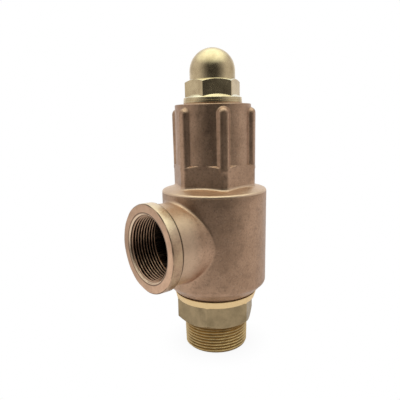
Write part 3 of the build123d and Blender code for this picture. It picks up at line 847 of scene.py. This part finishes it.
materials = {
    "casting": casting(),
    "nozzle_brass": turned("dull_yellow_brass", (0.30, 0.225, 0.125), (0.47, 0.35, 0.20), 0.36, 0.48,
                           further=nozzle_colour),
    "cap_brass": turned("polished_turned_brass", (0.53, 0.40, 0.23), (0.77, 0.605, 0.365), 0.20, 0.30,
                        mark=0.000006, further=cap_painted_highlights),
    "turned_brass": turned("turned_brass", (0.55, 0.40, 0.19), (0.78, 0.60, 0.30), 0.25, 0.38),
    "stainless": turned("turned_steel", (0.42, 0.42, 0.41), (0.62, 0.61, 0.59), 0.22, 0.34),
    "spring_steel": plain("drawn_wire", (0.16, 0.16, 0.17), (0.30, 0.30, 0.31), 0.36, 1.0, 900),
    "ptfe": plain("white_seal", (0.80, 0.79, 0.76), (0.90, 0.89, 0.86), 0.55),
    "gasket": plain("fibre_gasket", (0.035, 0.028, 0.024), (0.085, 0.07, 0.06), 0.8, 0.0, 900, 0.00008),
    "copper": plain("soft_copper", (0.62, 0.40, 0.24), (0.78, 0.56, 0.36), 0.38, 1.0, 400),
}


# ---- pieces on their bodies ----------------------------------------------------------------------
def dress(piece, slot, finish=None):
    """Gives a piece one material: its slot's, or a finish of its own."""
    piece.data.materials.clear()
    piece.data.materials.append(finish or materials[slot])
    for face in piece.data.polygons:
        face.material_index = 0


def place(piece, body, slot, *stands_for, finish=None):
    dress(piece, slot, finish)
    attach(piece, body)
    if stands_for:
        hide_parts(*stands_for)


place(make_bonnet(), "valve_body", "casting", "bonnet")
place(make_nozzle(), "valve_body", "nozzle_brass", "inlet_nozzle")
place(make_body(), "valve_body", "casting", "body")
place(make_outlet_band(), "valve_body", "casting", "body", finish=machined_outlet())
place(make_cap(), "cap", "cap_brass", "cap")

spring = make_spring()
place(spring, "spring_seat", "spring_steel", "spring")
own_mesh(spring)

for part in frame["record"]["subparts"]:
    dress(nodes[part["node"]], part["material_slot"])


# ---- studio -----------------------------------------------------------------------------------------
WHITE = (1.0, 1.0, 1.0)
SIDE = (0.64, 0.64, 0.64)  # colours of the tent's walls, of its floor and of its top
BACK = WHITE
FLOOR = (0.74, 0.74, 0.74)
TOP = (1.52, 1.69, 1.57)
OPENING = (0.05, 0.05, 0.05)  # and of the camera's side
BACK_EDGE = -0.65  # cosines, from the camera's direction, at which the back starts and is fully bright
BACK_CORE = -0.95
TOP_EDGE = 0.54  # sines of the heights at which the top starts and is fully bright
TOP_CORE = 0.88
OPENING_EDGE = 0.30  # cosines of the angles at which the opening starts and is fully dark
OPENING_CORE = 0.95
OPENING_WIDTH = 0.42  # of its width over its height
FLOOR_WHITE = 0.22  # metres towards the camera up to which the floor is white, and where it ends
FLOOR_END = 0.40
CONTACT_REACH = 0.03  # metres round the valve's foot in which the floor is shaded
CONTACT_SHADE = 0.88


def toward(tree, where):
    """How far a place or a direction lies towards the camera's side of the room."""
    added = put(tree, "VectorMath")
    added.operation = "DOT_PRODUCT"
    tree.links.new(where, added.inputs[0])
    added.inputs[1].default_value = toward_camera
    return added.outputs["Value"]


def opening(tree, where):
    """1 in the directions of the tent's opening, which is taller than it is wide."""
    lower = put(tree, "VectorMath")
    lower.operation = "MULTIPLY"
    tree.links.new(where, lower.inputs[0])
    lower.inputs[1].default_value = (1, 1, OPENING_WIDTH)
    unit = put(tree, "VectorMath")
    unit.operation = "NORMALIZE"
    tree.links.new(lower.outputs["Vector"], unit.inputs[0])
    return spread(tree, toward(tree, unit.outputs["Vector"]), OPENING_EDGE, OPENING_CORE)


def make_world():
    """A light tent: a bright top, softer sides, and a dark opening on the camera's side."""
    world = bpy.data.worlds.new("studio")
    world.use_nodes = True
    bpy.context.scene.world = world
    tree = world.node_tree
    tree.nodes.clear()
    where = put(tree, "TexCoord").outputs["Generated"]
    height = put(tree, "SeparateXYZ", Vector=where).outputs["Z"]
    behind = spread(tree, toward(tree, where), BACK_EDGE, BACK_CORE)
    room = mixed(tree, behind, SIDE, BACK)
    room = mixed(tree, opening(tree, where), room, OPENING)
    room = mixed(tree, spread(tree, height, TOP_EDGE, TOP_CORE), room, TOP)
    lit = put(tree, "Background", Color=room, Strength=1.0)
    seen = put(tree, "Background", Color=(*WHITE, 1), Strength=1.0)
    camera_ray = put(tree, "LightPath").outputs["Is Camera Ray"]
    chosen = put(tree, "MixShader", Fac=camera_ray)
    tree.links.new(lit.outputs[0], chosen.inputs[1])
    tree.links.new(seen.outputs[0], chosen.inputs[2])
    output = put(tree, "OutputWorld")
    tree.links.new(chosen.outputs[0], output.inputs["Surface"])


def make_floor():
    """A white sweep with a faint contact shadow; its reflection ends at the tent's opening."""
    bpy.ops.mesh.primitive_circle_add(vertices=96, radius=4.0, fill_type="NGON")
    floor = bpy.context.object
    floor.name = "floor"
    material = bpy.data.materials.new("white_floor")
    material.use_nodes = True
    tree = material.node_tree
    tree.nodes.clear()
    where = put(tree, "TexCoord").outputs["Object"]
    past = spread(tree, toward(tree, where), FLOOR_WHITE, FLOOR_END)
    reflected = mixed(tree, past, FLOOR, OPENING)
    open_air = put(tree, "AmbientOcclusion", Distance=CONTACT_REACH).outputs["AO"]
    shade = spread(tree, open_air, 0.0, 0.9, CONTACT_SHADE, 1.0)
    camera_ray = put(tree, "LightPath").outputs["Is Camera Ray"]
    colour = mixed(tree, camera_ray, reflected, WHITE)
    even = put(tree, "Emission", Color=colour, Strength=shade)
    output = put(tree, "OutputMaterial")
    tree.links.new(even.outputs[0], output.inputs["Surface"])
    floor.data.materials.append(material)


def make_top_light():
    """A large soft lamp above the valve and a little behind it."""
    data = bpy.data.lights.new("top_light", "AREA")
    data.shape = "DISK"
    data.size = 0.7
    data.energy = 0.2
    light = bpy.data.objects.new("top_light", data)
    light.location = (0.1, 0.1, 1.1)
    away = light.location - Vector((0, 0, 0.11))
    light.rotation_euler = away.to_track_quat("Z", "Y").to_euler()
    bpy.context.scene.collection.objects.link(light)


make_world()
make_floor()
make_top_light()
bpy.context.scene.view_settings.view_transform = "Standard"
